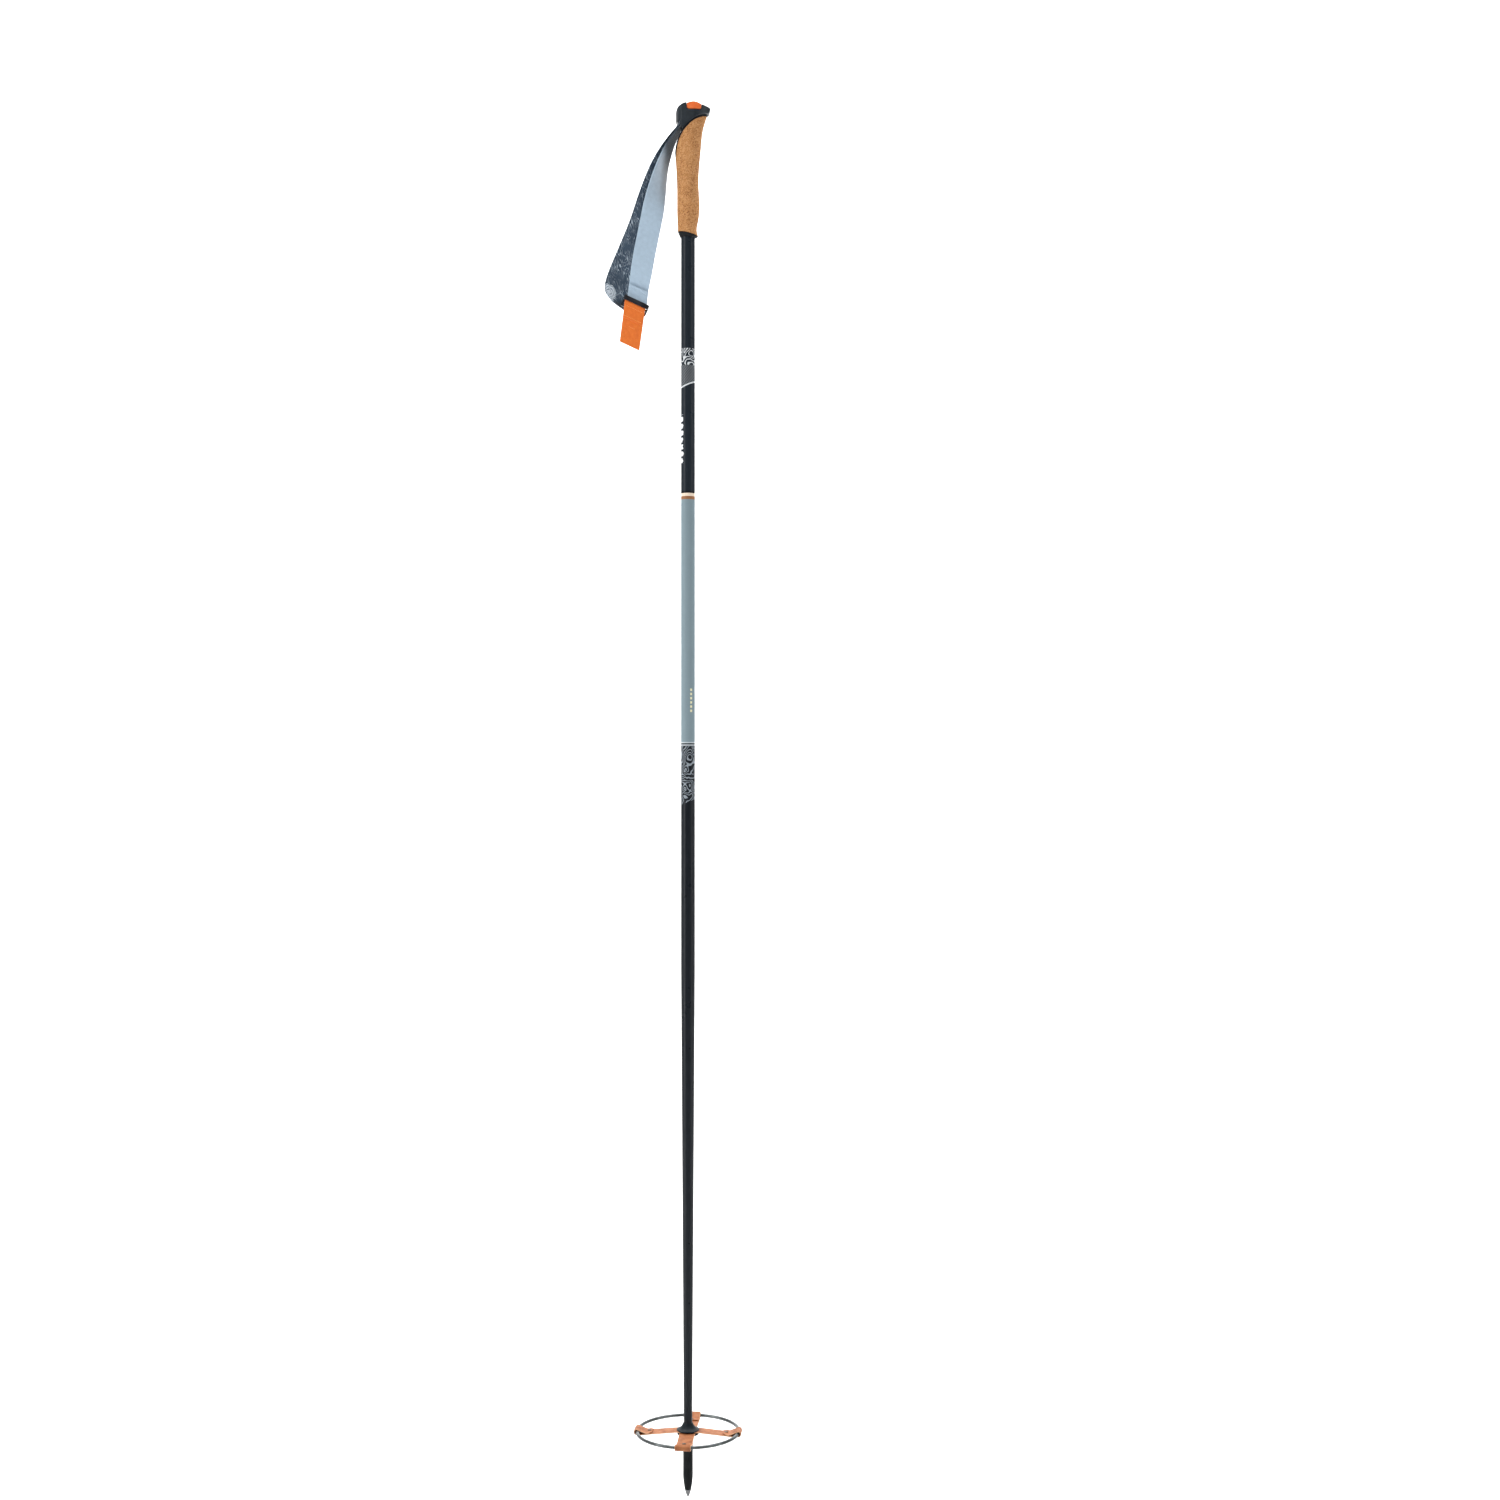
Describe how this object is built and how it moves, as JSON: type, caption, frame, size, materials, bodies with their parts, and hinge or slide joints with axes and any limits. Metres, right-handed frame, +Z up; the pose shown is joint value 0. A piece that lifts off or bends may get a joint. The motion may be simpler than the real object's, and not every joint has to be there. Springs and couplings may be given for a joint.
{
  "type": "ski pole",
  "caption": "Fixed-length touring ski pole with a cork grip, padded wrist strap, tapered tube, wire snow basket on leather straps and steel tip.",
  "frame": {"origin": "point of the steel tip, on the shaft's axis", "axes": "+Z up the shaft towards the grip, +X towards the front of the grip, -X towards the wrist strap"},
  "size_m": [0.1577, 0.1234, 1.5804],
  "materials": {
    "shaft": "satin dark blue paint with a pale grey-blue band and printed contour lines",
    "spike_steel": "worn dark steel",
    "ferrule": "matt black",
    "hub_plastic": "matt",
    "hub_rubber": "soft satin",
    "basket_leather": "waxed leather with pale cut edges",
    "rivet_steel": "dark",
    "ring_metal": "dark grey anodised",
    "cork": "sanded cork granules",
    "core_plastic": "matt black",
    "collar_rubber": "matt black",
    "head_plastic": "soft satin slate",
    "wedge_plastic": "satin orange",
    "webbing": "fine ribbed light blue webbing",
    "pad_fabric": "dark blue fabric with pale contour print",
    "lining_fabric": "brushed dark lining",
    "tail_webbing": "dark webbing",
    "buckle_plastic": "moulded black",
    "tab_fabric": "stitched orange webbing"
  },
  "bodies": {
    "pole": {"shaft_tube": "shaft", "tip_spike": "spike_steel", "tip_ferrule": "ferrule", "cork_grip": "cork", "grip_core": "core_plastic", "grip_collar": "collar_rubber", "grip_head": "head_plastic", "strap_anchor_pin": "rivet_steel", "strap_root": "webbing"},
    "lock_wedge": {"strap_lock_wedge": "wedge_plastic"},
    "wrist_strap": {"strap_webbing": "webbing", "hand_pad": "pad_fabric", "pad_lining": "lining_fabric", "pad_tail": "tail_webbing"},
    "buckle": {"buckle_frame": "buckle_plastic"},
    "tab": {"pull_tab": "tab_fabric"},
    "hub": {"basket_hub": "hub_plastic", "hub_cone": "hub_rubber"},
    "basket": {"basket_ring": "ring_metal", "cross_strap_upper": "basket_leather", "cross_strap_lower": "basket_leather", "strap_rivets": "rivet_steel"}
  },
  "joints": [
    {"name": "wedge_lift", "type": "slide", "parent": "pole", "child": "lock_wedge", "axis": [0, 0, 1], "range_m": [0, 0.008]},
    {"name": "strap_swing", "type": "hinge", "parent": "pole", "child": "wrist_strap", "pos_m": [-0.0101, 0, 1.554], "axis": [0, 1, 0], "range_deg": [0, 60]},
    {"name": "buckle_tilt", "type": "hinge", "parent": "wrist_strap", "child": "buckle", "pos_m": [-0.0575, -0.004, 1.356], "axis": [-0.9063, 0, 0.4226], "range_deg": [0, 20]},
    {"name": "tab_flap", "type": "hinge", "parent": "buckle", "child": "tab", "pos_m": [-0.05995, -0.0068, 1.35074], "axis": [-0.9063, 0, 0.4226], "range_deg": [0, 90]},
    {"name": "basket_spin", "type": "hinge", "parent": "pole", "child": "hub", "pos_m": [0, 0, 0.075], "axis": [0, 0, 1], "continuous": true},
    {"name": "basket_tilt", "type": "hinge", "parent": "hub", "child": "basket", "pos_m": [0, 0, 0.075], "axis": [0, 1, 0], "range_deg": [-15, 15], "stiffness_Nm_per_rad": 0.4, "deforming": ["cross_strap_upper", "cross_strap_lower"]}
  ]
}
